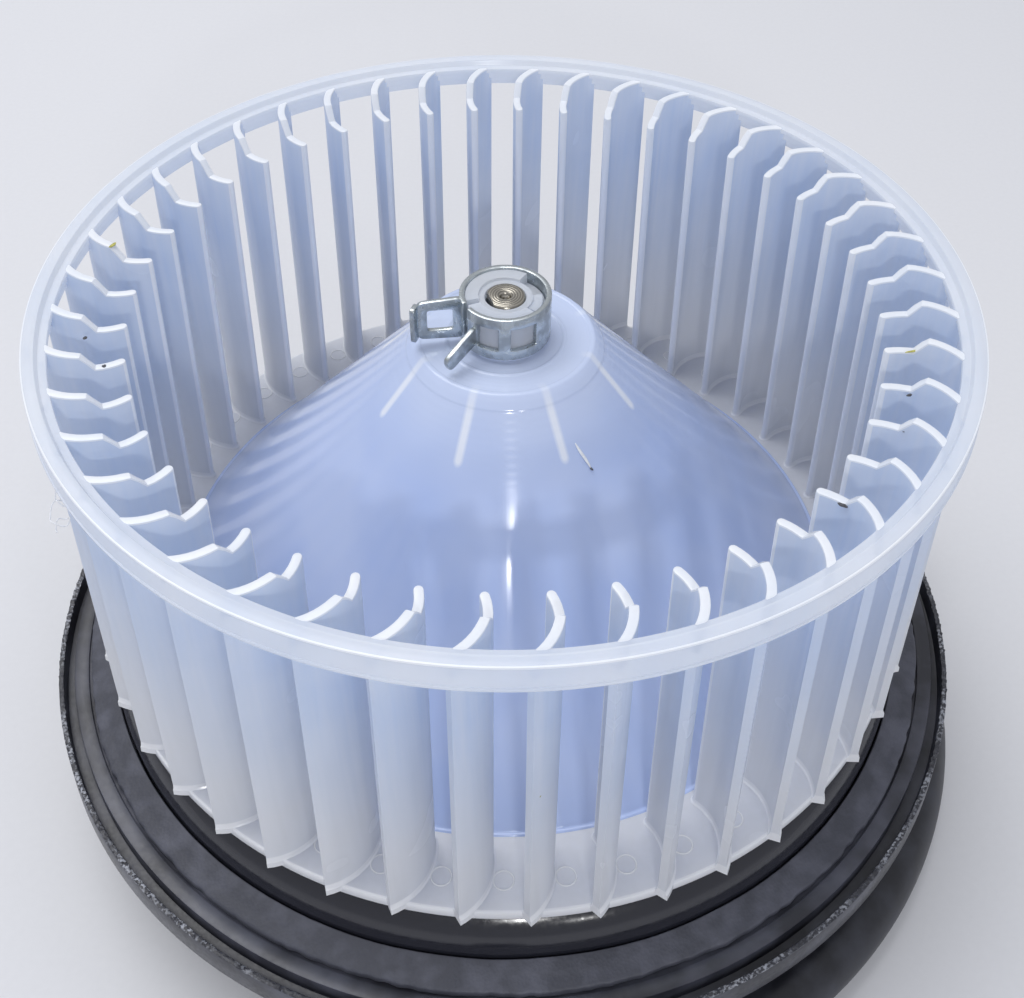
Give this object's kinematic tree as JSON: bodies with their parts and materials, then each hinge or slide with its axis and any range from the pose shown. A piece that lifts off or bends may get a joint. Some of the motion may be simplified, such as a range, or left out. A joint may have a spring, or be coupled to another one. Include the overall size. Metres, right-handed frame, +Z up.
{
  "type": "blower motor",
  "caption": "Cabin blower motor with a moulded bladed wheel on a conical hub, a mounting flange with seal, and a small brushed motor inside.",
  "frame": {"origin": "on the shaft's axis, in the plane of the lower cover's flat foot that the motor stands on", "axes": "+Z up along the shaft towards the wheel; -Y is the side the picture shows; the cooling tube leaves towards +X"},
  "size_m": [0.1813, 0.1891, 0.11],
  "materials": {
    "milky_plastic": "translucent natural plastic, satin",
    "zinc_spring": "bright zinc plate",
    "shaft_steel": "ground",
    "lamination_steel": "varnished stack",
    "copper": "enamelled and bare copper",
    "fibre": "pressed fibre",
    "white_plastic": "moulded",
    "black_plastic": "moulded, glossy",
    "foam": "closed-cell foam, matt",
    "black_rubber": "moulded rubber",
    "can_steel": "plated deep-drawn steel",
    "ferrite": "sintered, ground",
    "spring_steel": "bright strip",
    "sintered_bronze": "oil-soaked sinter",
    "brass_sheet": "rolled sheet",
    "carbon": "pressed carbon",
    "tinned_blade": "tinned"
  },
  "bodies": {
    "motor_body": {"motor_housing": "black_plastic", "foam_seal": "foam", "lower_cover": "black_plastic", "cooling_tube": "black_rubber", "plug_socket": "black_plastic", "plug_blades": "tinned_blade", "cover_screws": "zinc_spring", "motor_can": "can_steel", "magnets": "ferrite", "magnet_clips": "spring_steel", "upper_bush": "sintered_bronze", "lower_bush": "sintered_bronze", "upper_retainer": "spring_steel", "lower_retainer": "spring_steel", "end_plate": "can_steel", "thrust_pad": "fibre", "left_brush_holder": "brass_sheet", "right_brush_holder": "brass_sheet", "left_brush_spring": "spring_steel", "right_brush_spring": "spring_steel", "choke_coils": "copper", "rubber_mounts": "black_rubber", "upper_grommet": "black_rubber"},
    "rotor": {"blower_wheel": "milky_plastic", "hub_clamp": "zinc_spring", "motor_shaft": "shaft_steel", "armature_core": "lamination_steel", "armature_windings": "copper", "commutator": "copper", "spacer_sleeve": "white_plastic", "thrust_washers": "fibre", "oil_slinger": "white_plastic"},
    "left_brush_body": {"left_brush": "carbon"},
    "right_brush_body": {"right_brush": "carbon"}
  },
  "joints": [
    {"name": "shaft_spin", "type": "hinge", "parent": "motor_body", "child": "rotor", "pos_m": [0, 0, 0.05], "axis": [0, 0, 1], "continuous": true},
    {"name": "left_brush_slide", "type": "slide", "parent": "motor_body", "child": "left_brush_body", "axis": [-1, 0, 0], "range_m": [0, 0.0015], "stiffness_N_per_m": 120, "springref_m": -0.003, "deforming": ["left_brush_spring"]},
    {"name": "right_brush_slide", "type": "slide", "parent": "motor_body", "child": "right_brush_body", "axis": [1, 0, 0], "range_m": [0, 0.0015], "stiffness_N_per_m": 120, "springref_m": -0.003, "deforming": ["right_brush_spring"]}
  ]
}
